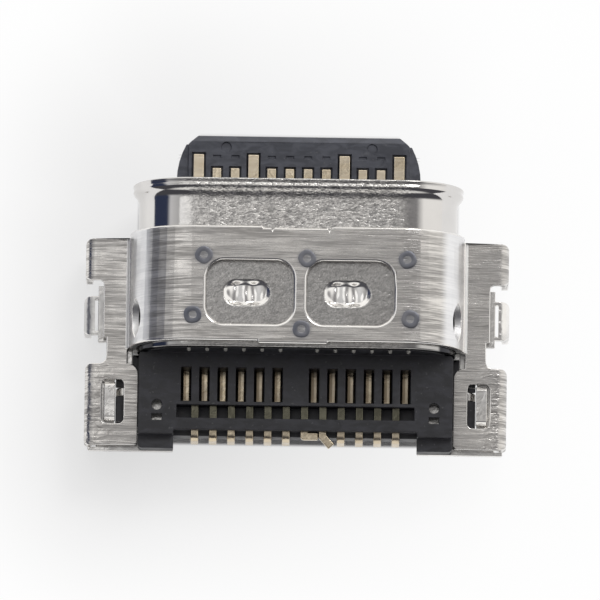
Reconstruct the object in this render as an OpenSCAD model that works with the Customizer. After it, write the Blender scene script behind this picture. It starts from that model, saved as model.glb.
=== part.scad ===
// USB-C socket for a board cut-out: a drawn shell under a welded outer bracket, a second
// bracket below, and an insert-moulded tongue with two rows of twelve contacts.
// The origin is the middle of the mouth: +Y points out of the mouth, +Z away from the board.
// Names ending in _back are distances behind the mouth plane, and names ending in _setback
// are distances behind the piece or edge that their comment names.

/* [Shell] */
// Width of the opening that the plug enters
opening_w = 8.34; // [8.2:0.02:8.8]
// Height of the opening
opening_h = 2.56; // [2.5:0.02:2.8]
// Wall of the drawn shell
shell_wall = 0.2; // [0.15:0.01:0.25]
// Length of the shell from mouth to rear edge
shell_length = 4.65; // [4.6:0.05:5.2]
// How far the mouth flares outside the shell, on each side
flare = 0.17; // [0.08:0.01:0.3]
// Straight rim of the flare
flare_rim = 0.2; // [0.1:0.02:0.3]
// Radius that blends the flare into the shell
flare_radius = 0.35; // [0.3:0.01:0.5]
// Rounding of the inner edge of the mouth
mouth_round = 0.18; // [0.05:0.01:0.25]

/* [Grounding dimples] */
// Length of each dimple across the shell
dimple_w = 1.33; // [1:0.01:1.6]
// Width of each dimple along the shell
dimple_l = 0.77; // [0.6:0.01:1]
// Depth that each dimple is pressed in
dimple_depth = 0.1; // [0.05:0.01:0.12]
// Slope of the dimple's wall, measured along its floor
dimple_slope = 0.07; // [0.03:0.01:0.12]

/* [Outer bracket] */
// Thickness of both stamped brackets
sheet = 0.2; // [0.15:0.01:0.25]
// Front edge of the cover over the shell
cover_front_back = 1.33; // [1:0.01:1.5]
// Strip of shell left bare behind the cover
cover_rear_gap = 0.13; // [0.08:0.01:0.3]
// Width of each punched window
window_w = 2.38; // [2:0.02:2.6]
// Length of each punched window
window_l = 1.75; // [1.4:0.01:2]
// Corner radius of the windows
window_radius = 0.5; // [0.2:0.01:0.6]
// Web of sheet left between the windows
window_web = 0.37; // [0.2:0.01:0.6]
// How far the windows and the small notches sit to the right of the middle
window_shift = 0.08; // [0:0.01:0.1]
// Middle of the windows and of the dimples in them
window_back = 3.17; // [3:0.01:3.3]
// Half the width of the carrier tab left on the rear edge
carrier_tab_half = 0.95; // [0.6:0.01:1.2]
// How far that tab sits to the left of the middle
carrier_tab_shift = 0.1; // [0:0.01:0.15]
// How far that tab stands out
carrier_tab_reach = 0.07; // [0.04:0.01:0.1]
// Half the width of the strip set back at the front edge
front_strip_half = 0.95; // [0.9:0.01:1.1]
// How far that strip is set back
front_strip_step = 0.05; // [0.03:0.01:0.1]
// Distance of each small notch in the front edge from the middle
edge_notch_x = 0.78; // [0.5:0.01:0.85]
// Width and depth of each small notch
edge_notch = 0.1; // [0.06:0.01:0.12]
// Length of the relief cut in each flank of the cover
flank_cut_l = 1.05; // [0.8:0.05:1.4]
// Height of that relief cut
flank_cut_h = 0.5; // [0.3:0.01:0.55]
// Distance from the middle of the relief cut to the cover's rear edge
flank_cut_inset = 0.74; // [0.72:0.01:1]
// Height of the relief cut above the wings
flank_cut_rise = 0.42; // [0.3:0.01:0.45]

/* [Bracket wings] */
// Half the width over the front legs
front_leg_x = 5.8; // [5.7:0.01:6.1]
// Front edge of the front wings
front_wing_back = 1.46; // [1.4:0.01:1.7]
// Length of the front wings
front_wing_l = 1.14; // [0.9:0.01:1.3]
// Half the width over the necks behind the front wings
neck_x = 5.3; // [5.1:0.01:5.35]
// Narrow part of the necks, ahead of the pads
waist_x = 5.2; // [5.1:0.01:5.25]
// Length of that narrow part
waist_l = 0.72; // [0.5:0.01:0.8]
// Front edge of the rear pads behind the shell's rear edge
pad_setback = 0.28; // [0.2:0.01:0.3]
// Length of the rear pads
pad_l = 2.26; // [2.15:0.01:2.4]
// Half the width over the rear legs
rear_leg_x = 5.78; // [5.75:0.01:6]
// Radius where each neck widens into its pad
neck_fillet = 0.2; // [0.1:0.01:0.25]
// Corner radius at the inner front of each pad
pad_radius = 0.3; // [0.15:0.01:0.4]
// Inside radius of the bends into the legs
leg_bend = 0.1; // [0.05:0.01:0.15]
// How far the legs reach below the board face
leg_reach = 1.26; // [0.8:0.02:1.28]
// Taper at the end of each leg
leg_taper = 0.3; // [0.1:0.01:0.4]

/* [Pad slots and clinched posts] */
// Width of the slot in each pad
slot_w = 0.6; // [0.55:0.01:0.64]
// Length of that slot
slot_l = 1.22; // [1.15:0.01:1.3]
// Corner radius of the slot
slot_radius = 0.14; // [0.05:0.01:0.2]
// Inner edge of the slot from the middle
slot_x = 4.71; // [4.65:0.01:4.75]
// Front edge of the slot behind the pad's front edge
slot_setback = 0.44; // [0.4:0.01:0.5]
// Gap from each end of a slot to the post that stands in it
post_gap = 0.07; // [0.04:0.01:0.1]
// Inner face of the posts from the middle
post_x = 4.96; // [4.94:0.01:4.98]
// How much wider the clinched head of a post is than its blade
post_spread = 0.1; // [0.04:0.01:0.12]
// How far the post's head stands above the pad
post_rise = 0.1; // [0.06:0.01:0.2]

/* [Lower bracket] */
// Front edge of the strap under the shell
strap_front_back = 2.75; // [2.7:0.01:2.9]
// Outer edge of the lower wings from the middle
lower_wing_x = 5.44; // [5.38:0.01:5.46]
// Front edge of the side legs
side_leg_back = 3.03; // [3:0.01:3.2]
// Width of the side legs
side_leg_l = 1.07; // [0.9:0.01:1.1]
// Half the width over the side legs
side_leg_x = 5.83; // [5.8:0.01:6]
// Inner edge of the rear plates from the middle
rear_plate_x = 3.33; // [3.3:0.01:3.5]
// Length of the rear plates
rear_plate_l = 0.68; // [0.6:0.01:0.72]
// How far the rear plates stand out behind the pads
rear_plate_reach = 0.13; // [0.1:0.01:0.2]

/* [Tongue] */
// Width of the tongue
tongue_w = 6.69; // [6.6:0.01:6.8]
// Thickness of the tongue between its contact faces
tongue_t = 0.7; // [0.66:0.01:0.74]
// Distance that the tongue's tip stands out of the mouth
tongue_out = 1.42; // [1.3:0.01:1.5]
// Width of the raised land that carries the contacts
land_w = 6.06; // [6.02:0.01:6.2]
// Height of the land above the side steps of the tongue
land_step = 0.1; // [0.06:0.01:0.12]
// How far the side steps stop short of the tip
step_setback = 0.26; // [0.2:0.01:0.32]
// Radius that the side steps' edges curve in by, towards the tip
step_radius = 2.1; // [1.8:0.05:3]
// Length of that curve
step_curve_l = 1; // [0.6:0.05:1.1]
// Chamfer of the tip, across the width
tip_chamfer = 0.26; // [0.1:0.01:0.3]
// Depth of each latch notch in the tongue's edges
latch_depth = 0.22; // [0.1:0.01:0.25]
// Length of each latch notch
latch_l = 1.2; // [1:0.01:1.4]
// Front edge of the latch notches behind the mouth
latch_back = 0.66; // [0.5:0.01:0.8]
// Length of the thicker root behind the tongue
root_l = 0.75; // [0.6:0.01:0.85]
// Width of the root
root_w = 7.2; // [7:0.05:7.6]
// Height of the root
root_h = 1.4; // [1.2:0.02:1.6]
// Length of the plug that fills the shell behind the root
plug_l = 0.7; // [0.6:0.01:0.8]

/* [Housing behind the shell] */
// Half the width of the housing
housing_x = 4.3; // [4.25:0.01:4.305]
// Corner radius of the housing and its feet
housing_radius = 0.12; // [0.05:0.01:0.2]
// Front edge of the sight slots over the front tails, behind the shell's rear edge
sight_setback = 0.42; // [0.38:0.01:0.45]
// Plastic between the sight slots and the trough behind them
sight_wall = 0.1; // [0.06:0.01:0.14]
// Height of its top above the socket's axis
housing_top = 0.5; // [0.46:0.01:0.6]
// Gap under the housing for solder
solder_gap = 0.03; // [0.02:0.01:0.05]
// How far the feet stop short of the edge of the rear plates that they stand on
foot_inset = 0.02; // [0.02:0.01:0.1]
// Height of the top of the feet above the socket's axis
foot_top = 0.3; // [0.2:0.01:0.4]
// Side gap between a front tail and its sight slot
sight_gap = 0.02; // [0.01:0.005:0.03]
// Gap behind the end of a front tail in its sight slot
sight_end_gap = 0.12; // [0.08:0.01:0.14]
// Width of the small ribs on the plug, behind the shell
rib_w = 0.07; // [0.04:0.01:0.1]
// Height of those ribs, down from the top of the plug
rib_h = 0.4; // [0.2:0.05:0.6]
// How far those ribs stand out behind the shell
rib_reach = 0.05; // [0.03:0.01:0.08]
// Length of the open trough over the rear row
trough_l = 0.36; // [0.3:0.01:0.4]
// Depth of the trough below the housing's top
trough_depth = 0.4; // [0.3:0.01:0.45]
// Plastic between the trough and the ledge that the rear tails cross
beam_l = 0.32; // [0.28:0.01:0.36]
// Length of that ledge
ledge_l = 0.14; // [0.12:0.01:0.2]
// Diameter of the round witness holes over the mid plate
witness_d = 0.28; // [0.2:0.01:0.34]
// Distance of the witness holes from the middle
witness_x = 3.79; // [3.75:0.01:3.85]
// Middle of the round witness holes behind the shell's rear edge
witness_setback = 1.48; // [1.4:0.01:1.5]
// Distance from a round witness hole to the square one behind it
witness_step = 0.34; // [0.3:0.01:0.36]
// Plastic left outside the mid plate's side plates
side_wall = 0.22; // [0.18:0.01:0.24]

/* [Contacts] */
// Spacing of the contacts
pitch = 0.5; // [0.48:0.01:0.51]
// Thickness of the contact strip
contact_t = 0.14; // [0.12:0.01:0.16]
// Height of the contacts above the tongue's faces
contact_proud = 0.01; // [0.005:0.005:0.02]
// Width of the power and ground contacts
power_w = 0.3; // [0.26:0.01:0.32]
// Width of the signal contacts
signal_w = 0.25; // [0.2:0.01:0.27]
// Gap from the tip to the power and ground contacts
power_setback = 0.54; // [0.48:0.01:0.6]
// How much further back the signal contacts start
signal_setback = 0.38; // [0.3:0.01:0.45]
// Groove left round the front of each contact
contact_groove = 0.04; // [0.02:0.005:0.05]
// Depth of that groove
groove_depth = 0.08; // [0.04:0.01:0.12]
// Diameter of the round marks near the tip
round_mark_d = 0.28; // [0.2:0.01:0.32]
// Depth of the small marks in the tongue's faces
mark_depth = 0.03; // [0.01:0.005:0.04]
// Length of the small mark ahead of each signal contact
pin_mark_l = 0.07; // [0.04:0.01:0.1]
// Width of the strips where they run inside the housing
buried_w = 0.16; // [0.12:0.01:0.18]
// Width of the rear row's solder tails
tail_w = 0.21; // [0.18:0.01:0.23]
// Width of the front row's solder tails
front_tail_w = 0.24; // [0.2:0.01:0.26]
// Length of the front row's tails in their sight slots
front_tail_l = 0.83; // [0.75:0.01:0.88]
// Inside radius of the rear row's downward bends
tail_bend = 0.05; // [0.03:0.01:0.06]
// Length of a rear tail that is knocked sideways
knocked_l = 0.37; // [0.3:0.01:0.38]

/* [Mid plate and carriers] */
// Thickness of the mid plate
mid_t = 0.15; // [0.12:0.01:0.16]
// How far the mid plate stops short of the tongue's tip
mid_setback = 0.36; // [0.3:0.01:0.4]
// Width of the contact carriers
carrier_w = 5.94; // [5.92:0.01:5.98]
// How far the contact carriers reach into the plug that fills the shell
carrier_seat = 0.25; // [0.15:0.01:0.35]
// Middle of the mid plate's side arms behind the front edge of the pad slots
arm_setback = 0.31; // [0.25:0.01:0.4]
// Width of those arms
arm_w = 0.23; // [0.2:0.01:0.26]

/* [Clearances] */
// Gap between pieces that are welded or pressed together
weld_gap = 0.01; // [0.005:0.005:0.015]
// Gap between the housing and the pads beside it
side_gap = 0.015; // [0.01:0.005:0.02]

/* [Hidden] */
$fn = 64;
contacts = 12;
cut = 1; // how far a cutting shape runs past what it cuts
row = [for (i = [1:contacts]) i];
function two_digits(i) = str(i < 10 ? "0" : "", i);

// Section of the shell and of the two brackets round it
end_x = (opening_w - opening_h) / 2; // middle of each round end
shell_r = opening_h / 2 + shell_wall;
seat_r = shell_r + weld_gap;
cover_r = seat_r + sheet;

// Rows of contacts, and the board face that their tails and the lower bracket share
face_z = tongue_t / 2 + contact_proud;
strip_z = face_z - contact_t;
board_z = -face_z;
lower_top = board_z + sheet;
wing_z = lower_top + weld_gap; // underside of the outer bracket's wings
wing_top = wing_z + sheet;
leg_end = board_z - leg_reach;
lower_wing_in = end_x + (seat_r + cover_r) / 2;
tongue_tip = -tongue_out;

// Plan of the brackets
cover_rear_back = shell_length - cover_rear_gap;
pad_back = shell_length + pad_setback;
waist_back = pad_back - waist_l;
pad_x = housing_x + side_gap;
pad_rear = pad_back + pad_l;
slot_back = pad_back + slot_setback;
post_front = slot_back + post_gap;
post_rear = slot_back + slot_l - post_gap;
plate_rear = pad_rear + rear_plate_reach;
plate_front = plate_rear - rear_plate_l;
crease = 0.6 * sheet; // radius in the corner where a wing leaves the cover

// Housing, from the tongue's root back to its feet
plug_back = shell_length - plug_l;
root_back = plug_back - root_l;
sight_back = shell_length + sight_setback;
front_tail_back = sight_back + front_tail_l;
trough_back = front_tail_back + sight_end_gap + sight_wall;
ledge_back = trough_back + trough_l + beam_l;
housing_back = ledge_back + ledge_l;
foot_back = plate_rear - foot_inset;
witness_back = shell_length + witness_setback;
rear_bend_back = housing_back + weld_gap - tail_bend;
knock_back = ledge_back + tail_w / 2 + 2 * weld_gap;
housing_bottom = board_z + solder_gap;
ledge_z = strip_z - weld_gap;
trough_x = (contacts + 1) * pitch / 2;

// Mid plate, from the tongue's edges out to its legs
carrier_back = plug_back + carrier_seat;
arm_back = slot_back + arm_setback;
arm_x = post_x - 3 * weld_gap;
arm_top = wing_z - 3 * weld_gap;
side_plate_in = 6.8 * pitch;
side_plate_out = housing_x - side_wall;
side_plate_rear = witness_back + witness_step + witness_d / 2 + weld_gap;

// Place of contact i across the tongue, and of its tail in the front row
function contact_x(i) = ((contacts + 1) / 2 - i) * pitch;
function front_tail_x(x) = x + sign(x) * pitch / 2;
function is_power(i) = i == 1 || i == 4 || i == 9 || i == 12;
function contact_front(i) = tongue_tip + power_setback + (is_power(i) ? 0 : signal_setback);
function contact_w(i) = is_power(i) ? power_w : signal_w;
// Two tails of the rear row are knocked sideways: these are their turns from straight back
function knocked_turn(i) = i == 6 ? 90 : i == 5 ? 42 : 0;

// ---- Helpers ----

module both_sides() {
    children();
    mirror([1, 0, 0]) children();
}

// An outline of X and Z, run from one distance behind the mouth to another
module run(front, back) {
    translate([0, -front, 0]) rotate([90, 0, 0]) linear_extrude(back - front) children();
}

// An outline of X and distance behind the mouth, raised between two heights
module plan(bottom, top) {
    translate([0, 0, bottom]) linear_extrude(top - bottom) mirror([0, 1]) children();
}

// An outline of distance behind the mouth and Z, run across between two values of X
module across(x0, x1) {
    translate([x0, 0, 0]) mirror([0, 1, 0]) rotate([90, 0, 90]) linear_extrude(x1 - x0) children();
}

module box2(x0, y0, x1, y1) {
    translate([x0, y0]) square([x1 - x0, y1 - y0]);
}

module stadium(w, h) {
    for (side = [-1, 1]) translate([side * (w - h) / 2, 0]) circle(d = h);
    square([w - h, h], center = true);
}

module rounded(w, l, r) {
    square([w - 2 * r, l], center = true);
    square([w, l - 2 * r], center = true);
    for (i = [-1, 1], j = [-1, 1]) translate([i * (w / 2 - r), j * (l / 2 - r)]) circle(r);
}

// What comes off to round a corner at the origin, where the sheet lies towards +X and +Y
module corner_waste(r) {
    difference() {
        translate([-cut, -cut]) square(r + cut);
        translate([r, r]) circle(r);
    }
}

module corner_waste_at(x, y, r, flip_x = false, flip_y = false) {
    translate([x, y]) mirror([flip_x ? 1 : 0, 0]) mirror([0, flip_y ? 1 : 0]) corner_waste(r);
}

// What fills the corner at the origin between two edges that run along +X and +Y
module fillet(r) {
    difference() {
        square(r);
        translate([r, r]) circle(r);
    }
}

// A profile of radius and height, swept round an oblong that lies along X
module oblong_sweep(half_l) {
    for (side = [-1, 1]) translate([side * half_l, 0, 0]) rotate_extrude() children();
    translate([-half_l, 0, 0]) rotate(120, [1, 1, 1]) linear_extrude(2 * half_l) {
        children();
        mirror([1, 0]) children();
    }
}

// A quarter of a bend in the sheet, from level at the top to straight down at the right
module bend_down(x_outer, z_top, inside, t) {
    outside = inside + t;
    translate([x_outer - outside, z_top - outside]) intersection() {
        difference() {
            circle(outside);
            circle(inside);
        }
        square(outside + cut);
    }
}

// Section of a leg: its bend and its straight blade
module leg_section(x_outer, z_top) {
    bend_down(x_outer, z_top, leg_bend, sheet);
    box2(x_outer - sheet, leg_end, x_outer, z_top - leg_bend - sheet);
}

// Side view of a leg: shoulders under the bend, then a narrower blade with a tapered end
module leg_outline(front, back, z_top) {
    shoulder = z_top - 2.5 * sheet;
    inset = 0.08 * (back - front);
    polygon([
        [front, z_top + cut], [back, z_top + cut], [back, shoulder],
        [back - inset, shoulder - inset], [back - inset, leg_end + leg_taper],
        [back - inset - leg_taper, leg_end], [front + inset + leg_taper, leg_end],
        [front + inset, leg_end + leg_taper], [front + inset, shoulder - inset],
        [front, shoulder]]);
}

// A leg, with the corners of its bend rounded off as seen from above
module leg(x_outer, front, back, z_top) {
    r = 0.75 * sheet;
    intersection() {
        run(front, back) leg_section(x_outer, z_top);
        across(0, x_outer + cut) leg_outline(front, back, z_top);
        plan(leg_end - cut, z_top + cut) difference() {
            box2(0, front - cut, x_outer + cut, back + cut);
            corner_waste_at(x_outer, front, r, true);
            corner_waste_at(x_outer, back, r, true, true);
        }
    }
}

// ---- Drawn shell ----

module shell_profile() {
    square([shell_r, shell_length]);
    square([shell_r + flare, flare_rim]);
    difference() {
        translate([shell_r, flare_rim]) square([flare, flare_radius]);
        translate([shell_r + flare_radius, flare_rim + flare_radius]) circle(flare_radius);
    }
}

module opening_profile() {
    r = opening_h / 2;
    translate([0, -cut]) square([r, shell_length + 2 * cut]);
    difference() {
        translate([0, -cut]) square([r + mouth_round, mouth_round + cut]);
        translate([r + mouth_round, mouth_round]) circle(mouth_round);
    }
}

// The dimple's hollow, and the bump that it raises inside, are one shape a wall apart
module dimple_profile(grow) {
    r = dimple_l / 2 + grow;
    polygon([[0, grow], [r, grow], [r, 0], [r - dimple_slope, -dimple_depth], [0, -dimple_depth]]);
}

module dimples(z, grow) {
    for (side = [-1, 1])
        translate([side * window_x(), -window_back, z])
            oblong_sweep((dimple_w - dimple_l) / 2) dimple_profile(grow);
}

function window_x() = (window_w + window_web) / 2;

module inner_shell() {
    color("#c9c5bd") difference() {
        union() {
            difference() {
                rotate([90, 0, 0]) oblong_sweep(end_x) shell_profile();
                rotate([90, 0, 0]) oblong_sweep(end_x) opening_profile();
            }
            dimples(opening_h / 2, shell_wall / 2);
        }
        dimples(shell_r, 0);
    }
}

// ---- Outer bracket ----

module cover_section() {
    difference() {
        stadium(2 * (end_x + cover_r), 2 * cover_r);
        stadium(2 * (end_x + seat_r), 2 * seat_r);
        box2(-2 * cover_r - end_x, -2 * cover_r, 2 * cover_r + end_x, wing_z);
    }
}

module front_edge_waste() {
    box2(-front_strip_half, 0, front_strip_half, cover_front_back + front_strip_step);
    for (side = [-1, 1])
        translate([window_shift + side * edge_notch_x, cover_front_back + front_strip_step])
            polygon([[-edge_notch / 2, -cut], [-edge_notch / 2, 0], [0, edge_notch],
                [edge_notch / 2, 0], [edge_notch / 2, -cut]]);
}

module rear_edge_waste() {
    for (side = [-1, 1]) mirror([side < 0 ? 1 : 0, 0])
        box2(carrier_tab_half - side * carrier_tab_shift, cover_rear_back, 2 * end_x, shell_length + cut);
}

// Lens of sheet cut from each flank of the cover, just above the wings
module flank_cut() {
    half_h = flank_cut_h / 2;
    r = ((flank_cut_l / 2) ^ 2 + half_h ^ 2) / flank_cut_h;
    both_sides() across(end_x + seat_r / 2, end_x + cover_r + cut)
        translate([cover_rear_back - flank_cut_inset, wing_top + flank_cut_rise + half_h])
            intersection() {
                translate([0, r - half_h]) circle(r);
                translate([0, half_h - r]) circle(r);
            }
}

module cover() {
    difference() {
        run(cover_front_back, cover_rear_back + carrier_tab_reach) cover_section();
        plan(0, 2 * cover_r) {
            front_edge_waste();
            for (side = [-1, 1]) translate([window_shift + side * window_x(), window_back])
                rounded(window_w, window_l, window_radius);
        }
        plan(-cut, 2 * cover_r) rear_edge_waste();
        flank_cut();
    }
}

// Right wing: front tab, neck and rear pad, up to where the legs begin to bend
module wing_outline() {
    wall_x = end_x + seat_r;
    bend_w = leg_bend + sheet;
    front_end = front_wing_back + front_wing_l;
    difference() {
        union() {
            box2(wall_x, front_wing_back, front_leg_x - bend_w, front_end);
            box2(wall_x, front_end, neck_x, waist_back);
            box2(wall_x, waist_back, waist_x, pad_back);
            box2(pad_x, pad_back, rear_leg_x - bend_w, pad_rear);
        }
        corner_waste_at(pad_x, pad_back, pad_radius);
        corner_waste_at(pad_x, pad_rear, sheet / 2, false, true);
        translate([slot_x + slot_w / 2, slot_back + slot_l / 2]) rounded(slot_w, slot_l, slot_radius);
    }
    translate([neck_x, front_end]) fillet(crease);
    translate([waist_x, pad_back]) mirror([0, 1]) fillet(neck_fillet);
}

// The crease where each wing turns out of the cover
module wing_crease() {
    x = end_x + cover_r;
    run(front_wing_back, cover_rear_back) difference() {
        box2(x - sheet / 4, wing_top - sheet / 4, x + crease, wing_top + crease);
        translate([x + crease, wing_top + crease]) circle(crease);
    }
}

module outer_bracket() {
    color("#a39e9a") {
        cover();
        both_sides() {
            plan(wing_z, wing_top) wing_outline();
            wing_crease();
            leg(front_leg_x, front_wing_back, front_wing_back + front_wing_l, wing_top);
            leg(rear_leg_x, pad_back, pad_rear, wing_top);
        }
    }
}

// ---- Lower bracket ----

module strap_section() {
    difference() {
        stadium(2 * (end_x + cover_r), 2 * cover_r);
        stadium(2 * (end_x + seat_r), 2 * seat_r);
        box2(-2 * cover_r - end_x, lower_top, 2 * cover_r + end_x, 2 * cover_r);
    }
}

// Right lower wing: beside the strap, past the posts, and back to the rear plate
module lower_wing_outline() {
    side_leg_end = side_leg_back + side_leg_l;
    bend_start = side_leg_x - leg_bend - sheet;
    difference() {
        union() {
            box2(lower_wing_in, strap_front_back, lower_wing_x, pad_back);
            box2(post_x, cover_rear_back, lower_wing_x, plate_rear);
            box2(rear_plate_x, plate_front, lower_wing_x, plate_rear);
            box2(neck_x, side_leg_back, bend_start, side_leg_end);
            box2(lower_wing_x - sheet, pad_rear + 2 * weld_gap, rear_leg_x - sheet / 2, plate_rear);
        }
        // Narrower beside the necks' narrow part
        box2(waist_x - sheet / 4, waist_back + sheet / 2, lower_wing_x + cut, pad_back);
        // Relief slot at the root of the side leg
        box2(lower_wing_x, side_leg_back + sheet / 2, bend_start, side_leg_end - sheet / 2);
        corner_waste_at(rear_leg_x - sheet / 2, plate_rear, sheet / 4, true, true);
    }
}

// Side view of a clinched post: a blade whose head slopes off at both ends
module post_outline() {
    head = wing_top + post_rise;
    polygon([
        [post_front, board_z - cut], [post_rear, board_z - cut], [post_rear, wing_top],
        [post_rear - post_rise, head], [post_front + post_rise, head], [post_front, wing_top]]);
}

module post_section() {
    r = 0.75 * sheet;
    difference() {
        union() {
            box2(post_x, board_z, post_x + sheet, wing_top + post_rise);
            box2(post_x - post_spread / 4, wing_z + sheet / 4, post_x + sheet + 0.75 * post_spread,
                wing_top + post_rise);
        }
        corner_waste_at(post_x, board_z, r);
    }
    translate([post_x + sheet, lower_top]) fillet(crease);
}

module post() {
    intersection() {
        run(post_front, post_rear) post_section();
        across(0, post_x + 2 * sheet) post_outline();
    }
}

module lower_bracket() {
    color("#b3aea8") {
        run(strap_front_back, cover_rear_back) strap_section();
        both_sides() {
            plan(board_z, lower_top) lower_wing_outline();
            leg(side_leg_x, side_leg_back, side_leg_back + side_leg_l, lower_top);
            post();
        }
    }
}

// ---- Contacts ----

// A strip of one width from one distance behind the mouth to the next
module strip(x, front, back, w) {
    box2(x - w / 2, front, x + w / 2, back);
}

// Side view of a rear tail: over the ledge, then straight down to its solder land
module butt_tail() {
    outside = tail_bend + contact_t;
    blade_back = rear_bend_back + outside;
    bend_down(blade_back, face_z, tail_bend, contact_t);
    box2(blade_back - contact_t, board_z, blade_back, face_z - outside);
}

// A tail knocked flat over the ledge, round a pivot at the end of its strip
module knocked_tail(x, turn) {
    translate([x, -knock_back, strip_z]) rotate(turn) translate([-tail_w / 2, -knocked_l, 0])
        cube([tail_w, knocked_l, contact_t]);
    translate([x, -knock_back, strip_z]) cylinder(h = contact_t, d = tail_w);
}

// A contact of the upper row, whose tail is in the rear row
module contact_a(i) {
    x = contact_x(i);
    trough_front = trough_back - sight_wall / 2;
    color("#cdb68a") {
        plan(strip_z, face_z) {
            strip(x, contact_front(i), root_back, contact_w(i));
            strip(x, root_back, trough_front, buried_w);
            strip(x, trough_front, knocked_turn(i) == 0 ? rear_bend_back : knock_back, tail_w);
        }
        if (knocked_turn(i) == 0) across(x - tail_w / 2, x + tail_w / 2) butt_tail();
        else knocked_tail(x, knocked_turn(i));
    }
}

// A contact of the lower row: its strip steps outward to the front row of tails
module contact_b(i) {
    x = -contact_x(i);
    tail_x = front_tail_x(x);
    step_front = root_back + power_w;
    step_back = shell_length - front_tail_w;
    color("#cdb68a") plan(board_z, board_z + contact_t) {
        strip(x, contact_front(i), step_front, contact_w(i));
        polygon([
            [x - buried_w / 2, step_front], [x + buried_w / 2, step_front],
            [tail_x + buried_w / 2, step_back], [tail_x - buried_w / 2, step_back]]);
        strip(tail_x, step_back, front_tail_back, front_tail_w);
    }
}

// ---- Mid plate and carriers ----

module latch_notch() {
    box2(tongue_w / 2 - latch_depth, latch_back, tongue_w, latch_back + latch_l);
}

// What comes off the tongue's edge where it curves in towards the tip
module step_curve_waste(front) {
    difference() {
        box2(land_w / 2 - cut, front - cut, tongue_w, front + step_curve_l);
        translate([tongue_w / 2 - step_radius, front + step_curve_l]) circle(step_radius);
    }
}

module mid_plate() {
    web_x = side_plate_out - mid_t;
    color("#bdb9b2") {
        plan(-mid_t / 2, mid_t / 2) difference() {
            union() {
                box2(-tongue_w / 2, tongue_tip + mid_setback, tongue_w / 2,
                    shell_length + 2 * weld_gap);
                box2(-side_plate_out, shell_length + weld_gap, side_plate_out, sight_back - sight_end_gap);
                for (side = [0, 1]) mirror([side, 0])
                    box2(side_plate_in, shell_length + weld_gap, side_plate_out, side_plate_rear);
            }
            for (side = [0, 1]) mirror([side, 0]) {
                latch_notch();
                step_curve_waste(tongue_tip + step_setback);
            }
        }
        both_sides() {
            run(arm_back - arm_w / 2, arm_back + arm_w / 2) {
                box2(web_x, arm_top - mid_t, side_plate_out, 0);
                box2(web_x, arm_top - mid_t, arm_x - leg_bend - mid_t, arm_top);
                bend_down(arm_x, arm_top, leg_bend, mid_t);
                box2(arm_x - mid_t, leg_end, arm_x, arm_top - leg_bend - mid_t);
            }
        }
    }
}

module carrier_outline() {
    translate([0, (tongue_tip + power_setback + carrier_back) / 2])
        rounded(carrier_w, carrier_back - tongue_tip - power_setback, sheet);
}

module upper_carrier() {
    color("#2a2b2e") plan(mid_t / 2, strip_z) carrier_outline();
}

module lower_carrier() {
    color("#2a2b2e") plan(board_z + contact_t, -mid_t / 2) carrier_outline();
}

// ---- Insert-moulded housing with the tongue ----

module tongue_land() {
    half = land_w / 2;
    nose = tongue_t / 4;
    intersection() {
        plan(-tongue_t / 2, tongue_t / 2) polygon([
            [-half + tip_chamfer, tongue_tip], [half - tip_chamfer, tongue_tip],
            [half, tongue_tip + tip_chamfer], [half, root_back + weld_gap],
            [-half, root_back + weld_gap], [-half, tongue_tip + tip_chamfer]]);
        across(-half - cut, half + cut) polygon([
            [tongue_tip, -tongue_t / 2 + nose], [tongue_tip + nose, -tongue_t / 2],
            [root_back + cut, -tongue_t / 2], [root_back + cut, tongue_t / 2],
            [tongue_tip + nose, tongue_t / 2], [tongue_tip, tongue_t / 2 - nose]]);
    }
}

module tongue_steps() {
    front = tongue_tip + step_setback;
    side_t = tongue_t / 2 - land_step;
    plan(-side_t, side_t) difference() {
        box2(-tongue_w / 2, front, tongue_w / 2, root_back + weld_gap);
        for (side = [0, 1]) mirror([side, 0]) {
            latch_notch();
            step_curve_waste(front);
        }
    }
}

module rear_block() {
    front = shell_length + weld_gap;
    plan(housing_bottom, housing_top) difference() {
        box2(-housing_x, front, housing_x, housing_back);
        box2(-rear_plate_x, ledge_back, rear_plate_x, housing_back + cut);
        for (side = [0, 1]) mirror([side, 0]) corner_waste_at(housing_x, front, housing_radius, true);
    }
    plan(housing_bottom, ledge_z)
        box2(-rear_plate_x, ledge_back - weld_gap, rear_plate_x, housing_back);
    // Ears under the wings and pads, up to the posts
    both_sides() plan(housing_bottom, wing_z - weld_gap) {
        box2(housing_x - weld_gap, front, lower_wing_in - weld_gap, pad_back + pad_radius);
        box2(housing_x - weld_gap, pad_back + weld_gap, post_x - post_spread / 4 - weld_gap,
            plate_front - weld_gap);
    }
    both_sides() plan(housing_bottom, foot_top) difference() {
        box2(rear_plate_x, housing_back - weld_gap, housing_x, foot_back);
        corner_waste_at(housing_x, foot_back, housing_radius, true, true);
    }
}

module moulding() {
    tongue_land();
    tongue_steps();
    run(root_back, plug_back + weld_gap) rounded(root_w, root_h, root_h / 4);
    run(plug_back, shell_length + 2 * weld_gap)
        stadium(opening_w - 2 * weld_gap, opening_h - 2 * weld_gap);
    rear_block();
    for (i = row) run(shell_length + weld_gap, shell_length + rib_reach)
        strip(front_tail_x(contact_x(i)) + rib_w, opening_h / 2 - rib_h, opening_h / 2, rib_w);
}

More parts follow.
